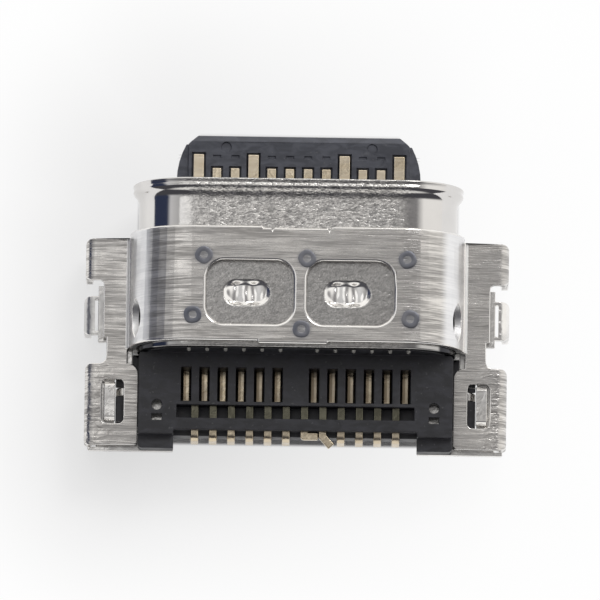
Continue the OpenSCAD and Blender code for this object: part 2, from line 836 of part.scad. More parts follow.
// Grooves round the front of each contact, marks of the pins that held the short ones,
// and the round marks of the ejector pins
module tongue_marks(side) {
    pin_back = tongue_tip + power_setback + pin_mark_l / 2;
    face = tongue_t / 2;
    mirror([0, 0, side > 0 ? 0 : 1]) {
        for (i = row) {
            x = side * contact_x(i);
            w = contact_w(i) + 2 * contact_groove;
            plan(face - groove_depth, tongue_t)
                strip(x, contact_front(i) - contact_groove, root_back, w);
            if (!is_power(i)) plan(face - mark_depth, tongue_t)
                strip(x, pin_back, pin_back + pin_mark_l, contact_w(i) - contact_groove);
        }
        for (x = [-4 * pitch, 4 * pitch])
            translate([x, tongue_out - tip_chamfer - 3 * mark_depth, face - mark_depth])
                cylinder(h = cut, d = round_mark_d);
    }
}

module rear_block_openings() {
    deep = housing_top - trough_depth;
    for (i = row) plan(board_z + contact_t, housing_top + cut)
        strip(front_tail_x(contact_x(i)), sight_back, front_tail_back + sight_end_gap,
            front_tail_w + 2 * sight_gap);
    plan(deep, housing_top + cut) box2(-trough_x, trough_back, trough_x, trough_back + trough_l);
    both_sides() plan(0, housing_top + cut) {
        translate([witness_x, witness_back]) circle(d = witness_d);
        translate([witness_x, witness_back + witness_step])
            square([witness_d, 0.6 * witness_d], center = true);
    }
    // Openings over the ends of the mid plate's arms
    both_sides() plan(arm_top - mid_t, wing_z)
        box2(arm_x - leg_bend - mid_t, arm_back - arm_w / 2 - weld_gap, post_x,
            arm_back + arm_w / 2 + weld_gap);
    // Room for the rear plates of the lower bracket
    both_sides() plan(-cut, lower_top + weld_gap)
        box2(rear_plate_x - weld_gap, plate_front - weld_gap, housing_x + cut, plate_rear);
}

module housing() {
    color("#232427") difference() {
        moulding();
        tongue_marks(1);
        tongue_marks(-1);
        rear_block_openings();
        upper_carrier();
        lower_carrier();
        mid_plate();
        for (i = row) {
            contact_a(i);
            contact_b(i);
        }
    }
}

// ---- Drawing ----

inner_shell();
outer_bracket();
lower_bracket();
housing();
mid_plate();
upper_carrier();
lower_carrier();
for (i = row) contact_a(i);
for (i = row) contact_b(i);
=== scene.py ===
# %% [markdown]
# # A plug socket for a board cut-out
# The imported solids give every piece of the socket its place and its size. This script leaves
# them where they are. For all but the two hidden contact carriers it makes a finished copy:
# edges that catch the light, a drawn steel shell, brushed brackets with weld marks, moulded
# black nylon and gilt contacts. Lengths are in metres, so the named values below are
# millimetres times MM.

# %% Load the frame
import math

import bmesh
import bpy
from mathutils import Matrix, Vector


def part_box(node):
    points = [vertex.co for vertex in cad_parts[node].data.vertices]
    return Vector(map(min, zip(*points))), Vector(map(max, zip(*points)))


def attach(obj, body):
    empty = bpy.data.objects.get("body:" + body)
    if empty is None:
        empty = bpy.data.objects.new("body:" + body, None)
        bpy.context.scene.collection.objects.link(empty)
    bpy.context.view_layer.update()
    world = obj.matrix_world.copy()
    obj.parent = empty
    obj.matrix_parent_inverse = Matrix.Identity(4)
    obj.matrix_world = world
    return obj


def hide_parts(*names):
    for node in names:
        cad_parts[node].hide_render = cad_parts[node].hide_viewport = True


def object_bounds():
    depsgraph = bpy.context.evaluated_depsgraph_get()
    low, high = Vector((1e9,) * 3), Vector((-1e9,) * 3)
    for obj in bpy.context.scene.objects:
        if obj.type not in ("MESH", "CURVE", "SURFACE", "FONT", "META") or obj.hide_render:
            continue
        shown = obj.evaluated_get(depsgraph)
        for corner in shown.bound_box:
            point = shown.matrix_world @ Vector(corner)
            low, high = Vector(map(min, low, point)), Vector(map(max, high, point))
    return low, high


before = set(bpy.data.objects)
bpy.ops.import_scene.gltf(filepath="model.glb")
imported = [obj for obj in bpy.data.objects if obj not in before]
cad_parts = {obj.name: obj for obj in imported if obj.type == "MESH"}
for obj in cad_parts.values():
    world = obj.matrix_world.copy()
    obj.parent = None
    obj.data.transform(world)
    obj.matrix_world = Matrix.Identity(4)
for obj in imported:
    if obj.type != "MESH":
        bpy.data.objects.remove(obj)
scene = bpy.context.scene
MM = 0.001
cad_low, cad_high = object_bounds()
print("solids:", len(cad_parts), "box in mm:", [round(v / MM, 2) for v in cad_high - cad_low])

# %% [markdown]
# ## Camera
# The socket lies on a table and is looked at from above and a little behind, with its mouth
# pointing up the view. A long lens a good way off keeps the sides of so small a thing parallel.
# The part lies a little askew, so the camera is rolled by the same angle.

# %% Camera
VIEW_ELEVATION = math.radians(80)
VIEW_ROLL = math.radians(0.85)
VIEW_WIDTH = 16.44 * MM
LENS = 1000
SENSOR = 36
FARTHEST = 10
VIEW_TARGET = Vector((0.083, -3.087, 0)) * MM


def make_camera():
    side = Vector((1, 0, 0))
    up = Vector((0, math.sin(VIEW_ELEVATION), math.cos(VIEW_ELEVATION)))
    right = side * math.cos(VIEW_ROLL) + up * math.sin(VIEW_ROLL)
    top = up * math.cos(VIEW_ROLL) - side * math.sin(VIEW_ROLL)
    back = right.cross(top)
    data = bpy.data.cameras.new("camera")
    data.lens = LENS
    data.sensor_width = SENSOR
    data.clip_start = MM
    data.clip_end = FARTHEST
    camera = bpy.data.objects.new("camera", data)
    scene.collection.objects.link(camera)
    camera.matrix_world = Matrix((right, top, back)).transposed().to_4x4()
    camera.location = VIEW_TARGET + back * VIEW_WIDTH * LENS / SENSOR
    scene.camera = camera
    return camera


camera = make_camera()
print("camera distance in mm:", round((camera.location - VIEW_TARGET).length / MM, 1))

# %% [markdown]
# ## Node trees in a few words
# Materials, node groups and the world are all trees of nodes. They could be drawn by hand in
# the node editor, but a script can be read, repeated and changed. A small helper makes a node,
# sets its plain values and joins its inputs in one call, so each tree below reads as a list of
# steps instead of a page of links.

# %% Helper for node trees


class Tree:
    """Makes nodes in one tree. An input may be a plain value or another node's output."""

    def __init__(self, tree):
        self.tree = tree

    def put(self, kind, settings=None, **inputs):
        """A node with its settings. Inputs go by name, or as i0, i1 and so on by number."""
        node = self.tree.nodes.new(kind)
        for name, value in (settings or {}).items():
            setattr(node, name, value)
        for name, value in inputs.items():
            socket = self.socket(node, name)
            if isinstance(value, bpy.types.NodeSocket):
                self.tree.links.new(value, socket)
            else:
                socket.default_value = value
        return node

    @staticmethod
    def socket(node, name):
        if name.startswith("i") and name[1:].isdigit():
            return node.inputs[int(name[1:])]
        return node.inputs[name.replace("_", " ")]

    def math(self, operation, a, b=0.0, clamp=False):
        node = self.put("ShaderNodeMath", {"operation": operation, "use_clamp": clamp}, i0=a, i1=b)
        return node.outputs[0]

    def plus(self, a, b, clamp=False):
        return self.math("ADD", a, b, clamp)

    def minus(self, a, b):
        return self.math("SUBTRACT", a, b)

    def times(self, a, b):
        return self.math("MULTIPLY", a, b)

    def ramp(self, value, low, high, to_low=0.0, to_high=1.0, smooth=True):
        """Goes from to_low to to_high as the value goes from low to high, and no further."""
        kind = "SMOOTHSTEP" if smooth else "LINEAR"
        node = self.put("ShaderNodeMapRange", {"interpolation_type": kind}, i0=value, i1=low,
                        i2=high, i3=to_low, i4=to_high)
        return node.outputs[0]

    def stops(self, value, colours):
        """A colour for each value from 0 to 1, blended between the given stops."""
        node = self.put("ShaderNodeValToRGB", Fac=value)
        elements = node.color_ramp.elements
        for number, (place, colour) in enumerate(colours):
            element = elements[number] if number < 2 else elements.new(place)
            element.position = place
            element.color = colour
        return node.outputs[0]

    def band(self, value, low, high, soft):
        """1 between low and high, falling to 0 over the soft distance outside them."""
        return self.times(self.ramp(value, low - soft, low), self.ramp(value, high + soft, high))

    def mix(self, factor, a, b):
        """Colour a where the factor is 0, and colour b where it is 1."""
        node = self.put("ShaderNodeMix", {"data_type": "RGBA"}, i0=factor, i6=a, i7=b)
        return node.outputs[2]

    def split(self, vector):
        """The X, Y and Z of a position or direction."""
        return self.put("ShaderNodeSeparateXYZ", Vector=vector).outputs

    def noise(self, position, grain, detail, roughness, distortion=0.0):
        """Noise whose grains are as long along each axis as the three lengths of grain say."""
        node = self.put("ShaderNodeVectorMath", {"operation": "MULTIPLY"}, i0=position,
                        i1=[1 / size for size in grain])
        node = self.put("ShaderNodeTexNoise", Vector=node.outputs[0], Scale=1.0, Detail=detail,
                        Roughness=roughness, Distortion=distortion)
        return node.outputs["Fac"]


def grey(level):
    return (level, level, level, 1)


def new_tree(owner):
    """The emptied node tree of a material or world."""
    owner.use_nodes = True
    owner.node_tree.nodes.clear()
    return Tree(owner.node_tree)


# %% [markdown]
# ## Surroundings
# Bare metal shows little but its surroundings, so they are what gives the shell and brackets
# their form. An image of a room could be wrapped round the part, but a few plain bands say as
# much and are easy to move. The room here is pale in front of the mouth and to the right, grey
# overhead, darker just right of that, dark behind the tails down to a pale horizon, and has a
# cool dark card low on the left. The camera itself sees plain white instead.

# %% Surroundings
PALE = (1.0, 0.99, 0.97, 1)
BEHIND = (0.07, 0.07, 0.08, 1)
LEFT_CARD = (0.035, 0.045, 0.085, 1)
ACROSS = [
    (0.0, LEFT_CARD),
    (0.09, LEFT_CARD),
    (0.13, (0.66, 0.66, 0.67, 1)),
    (0.25, (0.50, 0.50, 0.50, 1)),
    (0.5, (0.40, 0.395, 0.39, 1)),
    (0.60, (0.25, 0.245, 0.25, 1)),
    (0.74, (0.27, 0.265, 0.27, 1)),
    (0.84, PALE),
]
FRONT_FROM, FRONT_TO = 0.42, 0.62
BEHIND_FROM, BEHIND_TO = -0.12, -0.42
HORIZON_FROM, HORIZON_TO = -0.82, -0.94


def make_world():
    world = bpy.data.worlds.new("studio")
    scene.world = world
    t = new_tree(world)
    axis = t.split(t.put("ShaderNodeTexCoord").outputs["Generated"])
    colour = t.stops(t.ramp(axis[0], -1, 1, smooth=False), ACROSS)
    colour = t.mix(t.ramp(axis[1], FRONT_FROM, FRONT_TO), colour, PALE)
    colour = t.mix(t.ramp(axis[1], BEHIND_FROM, BEHIND_TO), colour, BEHIND)
    colour = t.mix(t.ramp(axis[1], HORIZON_FROM, HORIZON_TO), colour, PALE)
    to_camera = t.put("ShaderNodeLightPath").outputs["Is Camera Ray"]
    seen = t.mix(to_camera, colour, grey(1))
    background = t.put("ShaderNodeBackground", Color=seen, Strength=1.0)
    t.put("ShaderNodeOutputWorld", Surface=background.outputs[0])
    return world


print("world:", make_world().name)

# %% [markdown]
# ## Table
# The table is near white. It could be lit until it looks white, but the metal would burn out.
# So well away from the part, what the camera and the metal see is the table's own plain colour,
# and close to the part it keeps its real shade, so that nothing glows in the slots and gaps.
# Three boxes, for the rear, the shell and the tongue, say how close a place is. Seen from
# below, the table is clear and doesn't hide the underside.

# %% Table
TABLE_SIZE = 0.6
TABLE_DROP = 0.002 * MM
TABLE_WHITE = grey(0.93)
LEFT_SHARE = 0.60
RIGHT_SHARE = 0.95
FAR_SHARE = 0.988
NEAR_REACH = 6 * MM
EDGE_REACH = 0.12 * MM
EDGE_INSET = 0.2 * MM
VIEW_LEAN = (cad_high.z - cad_low.z) / 2 / math.tan(VIEW_ELEVATION)


def distance_to(t, axis, node, front, back):
    """Distance on the table from a box nearly as wide as the node, between two places along Y.

    The view leans, so the part hides a patch of table that lies a little further along Y."""
    half_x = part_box(node)[1].x - EDGE_INSET
    front, back = front + VIEW_LEAN, back + VIEW_LEAN
    beside = t.minus(t.math("ABSOLUTE", axis[0]), half_x)
    ahead = t.minus(t.math("ABSOLUTE", t.minus(axis[1], (front + back) / 2)), (front - back) / 2)
    outside = [t.math("POWER", t.math("MAXIMUM", side, 0.0), 2.0) for side in (beside, ahead)]
    return t.math("SQRT", t.plus(*outside))


def distance_to_part(t, axis):
    """Distance from the nearest of the three boxes.

    The first starts without the lean, where the wings begin, or it would show beside the shell."""
    wings_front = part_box("outer_bracket")[1].y - VIEW_LEAN - EDGE_REACH
    tail_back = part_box("contact_a01")[0].y
    shell_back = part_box("inner_shell")[0].y
    away = distance_to(t, axis, "housing", wings_front, tail_back)
    away = t.math("MINIMUM", away, distance_to(t, axis, "inner_shell", 0, shell_back))
    return t.math("MINIMUM", away, distance_to(t, axis, "contact_a01", cad_high.y, 0))


def make_table():
    place = (0, 0, cad_low.z - TABLE_DROP)
    bpy.ops.mesh.primitive_plane_add(size=TABLE_SIZE, location=place)
    table = bpy.context.object
    table.name = "table"
    material = bpy.data.materials.new("table_white")
    t = new_tree(material)
    matt = t.put("ShaderNodeBsdfDiffuse", Color=TABLE_WHITE)
    plain = t.put("ShaderNodeEmission", Color=grey(1), Strength=1.0)
    clear = t.put("ShaderNodeBsdfTransparent")
    axis = t.split(t.put("ShaderNodeTexCoord").outputs["Object"])
    away = distance_to_part(t, axis)
    # Painted light: near the part the table glows whiter on the right than on the left, so more of
    # its real shade shows on the left.
    near = t.ramp(axis[0], cad_low.x, cad_high.x, LEFT_SHARE, RIGHT_SHARE, smooth=False)
    share = t.times(t.ramp(away, 0, EDGE_REACH), t.ramp(away, 0, NEAR_REACH, near, FAR_SHARE))
    path = t.put("ShaderNodeLightPath").outputs
    seen = t.math("MAXIMUM", path["Is Camera Ray"], path["Is Glossy Ray"])
    both = t.put("ShaderNodeMixShader", i0=t.times(seen, share), i1=matt.outputs[0],
                 i2=plain.outputs[0])
    back = t.put("ShaderNodeNewGeometry").outputs["Backfacing"]
    both = t.put("ShaderNodeMixShader", i0=t.times(path["Is Camera Ray"], back),
                 i1=both.outputs[0], i2=clear.outputs[0])
    t.put("ShaderNodeOutputMaterial", Surface=both.outputs[0])
    table.data.materials.append(material)
    return table


table = make_table()
print("table at z in mm:", round(table.location.z / MM, 3))

# %% [markdown]
# ## Lamps
# Small bright lamps would leave hard white dots on metal, so both lamps are soft round discs.
# The key stands to the front right and gives the shadows, and a weak panel close on the left
# lifts that side. The camera doesn't see either of them, but the metal does.

# %% Lamps
KEY_PLACE = Vector((0.05, 0.09, 0.12))
KEY_SIZE = 0.06
KEY_POWER = 0.05
PANEL_PLACE = Vector((-0.017, 0.010, 0.055))
PANEL_SIZE = 0.03
PANEL_POWER = 0.0012


def make_lamp(name, place, size, power):
    data = bpy.data.lights.new(name, "AREA")
    data.shape = "DISK"
    data.size = size
    data.energy = power
    lamp = bpy.data.objects.new(name, data)
    scene.collection.objects.link(lamp)
    lamp.location = place
    lamp.rotation_euler = (VIEW_TARGET - place).to_track_quat("-Z", "Y").to_euler()
    lamp.visible_camera = False
    print("lamp:", name)


make_lamp("key", KEY_PLACE, KEY_SIZE, KEY_POWER)
make_lamp("left_panel", PANEL_PLACE, PANEL_SIZE, PANEL_POWER)
scene.view_settings.view_transform = "Standard"

# %% [markdown]
# ## Effects that several finishes share
# Each effect is a node group, built once and placed in each material with its own values. The
# nodes could be copied into every material, but then one change would have to be made many
# times. All effects work on the position in the part's own frame, so the grain runs on from
# piece to piece.

# %% Helper for groups


def make_group(name, inputs, outputs, build):
    """A shader node group that takes a position and the named numbers, and gives out numbers."""
    group = bpy.data.node_groups.new(name, "ShaderNodeTree")
    group.interface.new_socket("Position", in_out="INPUT", socket_type="NodeSocketVector")
    for key in inputs:
        group.interface.new_socket(key, in_out="INPUT", socket_type="NodeSocketFloat")
    for key in outputs:
        group.interface.new_socket(key, in_out="OUTPUT", socket_type="NodeSocketFloat")
    t = Tree(group)
    t.put("NodeGroupOutput", **build(t, t.put("NodeGroupInput").outputs))
    print("group:", name)
    return group


def use_group(t, group, position, **values):
    return t.put("ShaderNodeGroup", {"node_tree": group}, Position=position, **values).outputs


def with_contrast(t, height, contrast):
    """A mask from 0 to 1 that follows a height, with its middle values spread apart."""
    return t.plus(t.times(t.minus(height, 0.5), contrast), 0.5, clamp=True)


# %% [markdown]
# ### Brushed streaks
# A brush or an abrasive belt leaves long thin scratches, all one way. An anisotropic shader
# would only smear the reflection. On so small a part single scratches show, so two noises are
# stretched along X, a fine one and a broad one.

# %% Brushed streaks
FINE_STREAK = [0.7 * MM, 0.035 * MM, 0.7 * MM]
BROAD_STREAK = [2.2 * MM, 0.13 * MM, 2.2 * MM]
FINE_STREAK_SHARE, BROAD_STREAK_SHARE = 0.55, 0.45


def build_streaks(t, given):
    fine = t.noise(given["Position"], FINE_STREAK, detail=3, roughness=0.65)
    broad = t.noise(given["Position"], BROAD_STREAK, detail=2, roughness=0.55, distortion=0.2)
    both = t.plus(t.times(fine, FINE_STREAK_SHARE), t.times(broad, BROAD_STREAK_SHARE))
    return {"Mask": with_contrast(t, both, given["Contrast"]), "Height": both}


STREAKS = make_group("brushed_streaks", ["Contrast"], ["Mask", "Height"], build_streaks)

# %% [markdown]
# ### Orange peel
# Deep drawing stretches steel until its crystals stand up as a pebbled skin of winding ridges.
# It is far too fine to sculpt, and a warped noise with a finer one on top looks the same.

# %% Orange peel
PEEL_GRAIN = [0.17 * MM, 0.085 * MM, 0.13 * MM]
FINE_PEEL_GRAIN = [0.06 * MM, 0.04 * MM, 0.05 * MM]
PEEL_SHARE, FINE_PEEL_SHARE = 0.6, 0.4


def build_peel(t, given):
    grains = t.noise(given["Position"], PEEL_GRAIN, detail=2, roughness=0.55, distortion=0.7)
    fine = t.noise(given["Position"], FINE_PEEL_GRAIN, detail=2, roughness=0.6)
    both = t.plus(t.times(grains, PEEL_SHARE), t.times(fine, FINE_PEEL_SHARE))
    return {"Mask": with_contrast(t, both, given["Contrast"]), "Height": both}


PEEL = make_group("orange_peel", ["Contrast"], ["Mask", "Height"], build_peel)

# %% [markdown]
# ### Sheet waves
# A stamped sheet is never quite flat: it keeps long waves from the press, and small dents where
# it was hammered. Bending the mesh would carry its edges along, so the waves are a bump only.

# %% Sheet waves
WAVE_LENGTHS = [2.6 * MM, 1.3 * MM, 1.6 * MM]
DENT_SIZES = [0.28 * MM, 0.2 * MM, 0.24 * MM]


def build_waves(t, given):
    place = given["Position"]
    return {"Long": t.noise(place, WAVE_LENGTHS, detail=1, roughness=0.4, distortion=0.4),
            "Dents": t.noise(place, DENT_SIZES, detail=2, roughness=0.5, distortion=0.6)}


WAVES = make_group("sheet_waves", [], ["Long", "Dents"], build_waves)

# %% [markdown]
# ### Handling marks
# Every piece picks up a slow cloudiness from fingers and air, and a few specks of dust. Both
# are noises spread out between two levels, which never repeat as an image of them would.

# %% Handling marks
CLOUD_SIZE = [1.4 * MM] * 3
CLOUD_FROM, CLOUD_TO = 0.3, 0.7
SPECK_SPACING = [0.09 * MM] * 3
SPECK_FROM, SPECK_TO = 0.70, 0.78


def build_handling(t, given):
    cloud = t.noise(given["Position"], CLOUD_SIZE, detail=3, roughness=0.6)
    specks = t.noise(given["Position"], SPECK_SPACING, detail=1, roughness=0.5)
    return {"Cloud": t.ramp(cloud, CLOUD_FROM, CLOUD_TO),
            "Specks": t.ramp(specks, SPECK_FROM, SPECK_TO)}


HANDLING = make_group("handling_marks", [], ["Cloud", "Specks"], build_handling)

# %% [markdown]
# ### Moulded grain
# A mould that was cut by sparks prints its fine grain on the plastic, and the glass fibres in
# the melt leave swirls where it flowed. One noise gives the grain and a twisted one the swirls.

# %% Moulded grain
MOULD_GRAIN = [0.03 * MM] * 3
SWIRL_SIZE = [0.5 * MM, 0.25 * MM, 0.5 * MM]
FLOW_FROM, FLOW_TO = 0.35, 0.7


def build_grain(t, given):
    grain = t.noise(given["Position"], MOULD_GRAIN, detail=3, roughness=0.6)
    swirl = t.noise(given["Position"], SWIRL_SIZE, detail=2, roughness=0.5, distortion=1.0)
    return {"Height": grain, "Flow": t.ramp(swirl, FLOW_FROM, FLOW_TO)}


GRAIN = make_group("moulded_grain", [], ["Height", "Flow"], build_grain)

# %% [markdown]
# ## Finishes
# A metal here is the Principled shader with Metallic at 1: its colour tints what it reflects,
# and its roughness says how far the reflection is smeared. Streaks go into colour, roughness
# and bump alike, and peel into colour and bump, because each is one relief seen in many ways.

# %% Helper for materials
FINISH = {}


def make_material(name, build, **constants):
    """A material whose Principled sockets take constants as they are and links from build."""
    material = bpy.data.materials.new(name)
    t = new_tree(material)
    position = t.put("ShaderNodeTexCoord").outputs["Object"]
    shader = t.put("ShaderNodeBsdfPrincipled", **constants, **build(t, position))
    t.put("ShaderNodeOutputMaterial", Surface=shader.outputs[0])
    print("material:", name)
    return material


def bump(t, height, distance):
    """Relief without geometry. Where distance is MM, the height is in millimetres."""
    return t.put("ShaderNodeBump", Height=height, Distance=distance).outputs[0]


# %% [markdown]
# ### Drawn steel of the shell
# The shell is pebbled where its sheet stayed flat, and polished round the ends, where the die
# rubbed it. Under the cover it is smoother and greyer. The ends under the cover show only
# through the sight holes in its flanks, and there they are painted near black, as painted shade
# for the narrow gap behind the cover.

# %% Drawn steel of the shell
PEEL_FULL, PEEL_GONE = 2.5 * MM, 3.4 * MM
COVER_FROM, COVER_TO = -1.3 * MM, -1.9 * MM
DARK_FROM, DARK_TO = 3.85 * MM, 3.95 * MM
PEEL_LOW, PEEL_HIGH = (0.34, 0.33, 0.32, 1), (0.95, 0.92, 0.88, 1)
POLISHED = (0.74, 0.72, 0.70, 1)
COVERED, COVERED_SHARE = (0.37, 0.36, 0.35, 1), 0.66
SHELL_CLOUD, SHELL_CLOUD_SHARE = grey(0.5), 0.2
# Painted shade: the shell's ends seen through the sight holes are coloured near black.
PAINTED_END_SHADE = (0.05, 0.05, 0.055, 1)
OPEN_RELIEF, COVERED_RELIEF = 0.020, 0.013
POLISHED_ROUGH, PEEL_ROUGH = 0.10, 0.25


def shell_steel(t, position):
    axis = t.split(position)
    beside = t.math("ABSOLUTE", axis[0])
    flat = t.ramp(beside, PEEL_GONE, PEEL_FULL)
    covered = t.ramp(axis[1], COVER_FROM, COVER_TO)
    painted_end_shade = t.times(covered, t.ramp(beside, DARK_FROM, DARK_TO))
    peel = use_group(t, PEEL, position, Contrast=4.0)
    cloud = use_group(t, HANDLING, position)["Cloud"]
    colour = t.mix(peel["Mask"], PEEL_LOW, PEEL_HIGH)
    colour = t.mix(flat, POLISHED, colour)
    colour = t.mix(t.times(covered, COVERED_SHARE), colour, COVERED)
    colour = t.mix(t.times(cloud, SHELL_CLOUD_SHARE), colour, SHELL_CLOUD)
    colour = t.mix(painted_end_shade, colour, PAINTED_END_SHADE)
    relief = t.times(peel["Height"], t.ramp(covered, 0, 1, OPEN_RELIEF, COVERED_RELIEF))
    return {"Base_Color": colour, "Roughness": t.ramp(flat, 0, 1, POLISHED_ROUGH, PEEL_ROUGH),
            "Normal": bump(t, t.times(relief, flat), MM)}


FINISH["shell_steel"] = make_material("drawn_steel", shell_steel, Metallic=1.0)

# %% [markdown]
# ### Brushed steel of the cover
# The cover's sheet was brushed across before it was stamped, so its streaks run along X and
# down over the flanks. Where the flanks roll over the shell the streaks are shallower and
# rougher, and the flanks are painted paler, as a painted reflection. Hammering dented the rear
# pads where they bend into their legs. Each spot weld tinted the steel round it. Every one of
# these is a mask made from the position.

# %% Heat tint round the welds
# X and Y of the middle of each spot weld, in mm.
WELDS = [(-2.56, -2.17), (0.26, -2.23), (3.00, -2.23), (-2.84, -3.83), (0.13, -4.19),
         (3.10, -3.87)]
TINT_FULL, TINT_GONE = 0.2 * MM, 0.33 * MM


def heat_tint(t, axis):
    """How much the steel is tinted by the nearest spot weld."""
    nearest = None
    for x, y in WELDS:
        offset = t.put("ShaderNodeCombineXYZ", X=t.minus(axis[0], x * MM),
                       Y=t.minus(axis[1], y * MM))
        length = t.put("ShaderNodeVectorMath", {"operation": "LENGTH"}, i0=offset.outputs[0])
        away = length.outputs["Value"]
        nearest = away if nearest is None else t.math("MINIMUM", nearest, away)
    return t.ramp(nearest, TINT_GONE, TINT_FULL)


print("welds that tint the cover:", len(WELDS))

# %% Brushed steel of the cover
LEG_BEND_FROM, LEG_BEND_TO = 4.6 * MM, 5.5 * MM
PAD_FROM, PAD_TO = -4.6 * MM, -5.0 * MM
WINGS_BELOW, WINGS_CLEAR = 0.08 * MM, 0.25 * MM
ROLLED_IN, FLANK_IN, FLANK_OUT = 3.8 * MM, 4.15 * MM, 4.62 * MM
ROLLED_SOFT, FLANK_SOFT = 0.5 * MM, 0.25 * MM
STREAK_DARK, STREAK_LIGHT = (0.35, 0.335, 0.32, 1), (0.88, 0.85, 0.81, 1)
COVER_CLOUD, COVER_CLOUD_SHARE = (0.42, 0.41, 0.41, 1), 0.3
TINT, TINT_SHARE = (0.22, 0.23, 0.26, 1), 0.55
# Painted reflection: the flanks are coloured paler than the streaked sheet.
PAINTED_FLANK_REFLECTION, PAINTED_FLANK_REFLECTION_SHARE = (0.93, 0.93, 0.94, 1), 0.8
STREAK_RELIEF, ROLLED_RELIEF = 0.010, 0.004
WAVE_RELIEF = 0.05
DENT_RELIEF, HAMMERED_RELIEF = 0.001, 0.030
DARK_ROUGH, LIGHT_ROUGH, ROLLED_ROUGH = 0.40, 0.22, 0.36


def bracket_steel(t, position):
    axis = t.split(position)
    beside = t.math("ABSOLUTE", axis[0])
    above_wings = t.ramp(axis[2], WINGS_BELOW, WINGS_CLEAR)
    flank_reflection = t.times(above_wings, t.band(beside, FLANK_IN, FLANK_OUT, FLANK_SOFT))
    rolled = t.times(above_wings, t.band(beside, ROLLED_IN, FLANK_OUT, ROLLED_SOFT))
    hammered = t.times(t.ramp(beside, LEG_BEND_FROM, LEG_BEND_TO),
                       t.ramp(axis[1], PAD_FROM, PAD_TO))
    streaks = use_group(t, STREAKS, position, Contrast=5.5)
    waves = use_group(t, WAVES, position)
    cloud = use_group(t, HANDLING, position)["Cloud"]
    colour = t.mix(streaks["Mask"], STREAK_DARK, STREAK_LIGHT)
    colour = t.mix(t.times(cloud, COVER_CLOUD_SHARE), colour, COVER_CLOUD)
    colour = t.mix(t.times(heat_tint(t, axis), TINT_SHARE), colour, TINT)
    # The flanks take the painted reflection.
    colour = t.mix(t.times(flank_reflection, PAINTED_FLANK_REFLECTION_SHARE), colour, PAINTED_FLANK_REFLECTION)
    relief = t.times(streaks["Height"], t.ramp(rolled, 0, 1, STREAK_RELIEF, ROLLED_RELIEF))
    relief = t.plus(relief, t.times(waves["Long"], WAVE_RELIEF))
    dents = t.times(waves["Dents"], t.ramp(hammered, 0, 1, DENT_RELIEF, HAMMERED_RELIEF))
    rough = t.ramp(streaks["Mask"], 0, 1, DARK_ROUGH,
                   t.ramp(rolled, 0, 1, LIGHT_ROUGH, ROLLED_ROUGH))
    return {"Base_Color": colour, "Roughness": rough,
            "Normal": bump(t, t.plus(relief, dents), MM)}


FINISH["bracket_steel"] = make_material("brushed_steel", bracket_steel, Metallic=1.0)

# %% [markdown]
# ### Plain and worked steel
# The lower bracket and the tongue's plate are plain rolled sheet without streaks: only clouds
# that change colour and gloss together, and shallow dents. Tools leave a finish of their own. A
# cutting punch leaves a bright edge and a blunt one a clean glossy dimple. The hollow bend gets a
# painted highlight: a near white, partly matt steel that stays pale under any light. A spot weld
# leaves a ring of blue-grey scale. Each is one blend of two close shades.

# %% Plain and worked steel
SHEET_DENTS = 0.02 * MM


def blended(name, bare, clouded, rough=None, dents=None, **constants):
    """Steel that goes from one colour to another with its clouds, and its roughness likewise."""

    def build(t, position):
        cloud = use_group(t, HANDLING, position)["Cloud"]
        links = {"Base_Color": t.mix(cloud, (*bare, 1), (*clouded, 1))}
        if rough:
            links["Roughness"] = t.ramp(cloud, 0, 1, *rough)
        if dents:
            links["Normal"] = bump(t, use_group(t, WAVES, position)["Dents"], dents)
        return links

    return make_material(name, build, **constants)


FINISH["plate_steel"] = blended("rolled_steel", (0.90, 0.88, 0.85), (0.62, 0.61, 0.60),
                                (0.2, 0.34), SHEET_DENTS, Metallic=1.0)
SHEARED = blended("sheared_edge", (0.95, 0.93, 0.90), (0.80, 0.78, 0.76), (0.14, 0.22),
                  Metallic=1.0)
HEAT_SCALE = blended("heat_scale", (0.12, 0.13, 0.16), (0.25, 0.25, 0.27), (0.35, 0.5),
                     Metallic=1.0)
PRESSED = blended("pressed_steel", (0.98, 0.96, 0.93), (0.88, 0.86, 0.84), (0.12, 0.2),
                  Metallic=1.0)
# Painted highlight: a near white, partly matt finish for the bright line along the hollow bend.
PAINTED_BEND_HIGHLIGHT = blended("painted_highlight_bend", (1.0, 0.99, 0.97), (0.92, 0.91, 0.90), Metallic=0.4,
                    Roughness=0.4)

# %% [markdown]
# ### Gilding of the contacts
# The contacts are gilt bronze. The gilding is bright on the tongue, duller and browner at the
# back, where solder flux has been, and painted dark olive where the tails cross the trough, as
# painted shade for its depth. Each front tail stands beside its slot's wall, and its left half is
# painted darker, as painted shade from that wall. One material with masks by place does for
# all 24, because they differ only in where they lie.

# %% Gilding of the contacts
TAIL_PITCH = 0.5 * MM
FLUX_FROM, FLUX_TO = -4.9 * MM, -5.9 * MM
TROUGH_BACK, TROUGH_FRONT, TROUGH_SOFT = -6.55 * MM, -6.0 * MM, 0.04 * MM
TAILS_BACK, TAILS_FRONT, TAILS_SOFT = -5.85 * MM, -4.9 * MM, 0.05 * MM
# Where a tail's painted shade begins, as shares of the way from the middle of one tail to the
# next.
LIT_HALF, SHADED_HALF = 0.48, 0.54
GOLD_DARK, GOLD_LIGHT = (0.72, 0.58, 0.38, 1), (0.95, 0.85, 0.68, 1)
TARNISH, TARNISH_SHARE = (0.58, 0.52, 0.44, 1), 0.4
FLUX, FLUX_SHARE = (0.40, 0.33, 0.24, 1), 0.3
# Painted shade: each front tail's left half is coloured darker, for the slot wall beside it.
PAINTED_TAIL_SHADE, PAINTED_TAIL_SHADE_SHARE = (0.30, 0.23, 0.15, 1), 0.75
# Painted shade: where the tails cross the deep trough they are coloured dark olive.
TROUGH_SHADE_DARK, TROUGH_SHADE_LIGHT = (0.12, 0.115, 0.085, 1), (0.21, 0.20, 0.15, 1)
GOLD_ROUGH = (0.2, 0.34)
GOLD_DENTS = 0.012 * MM


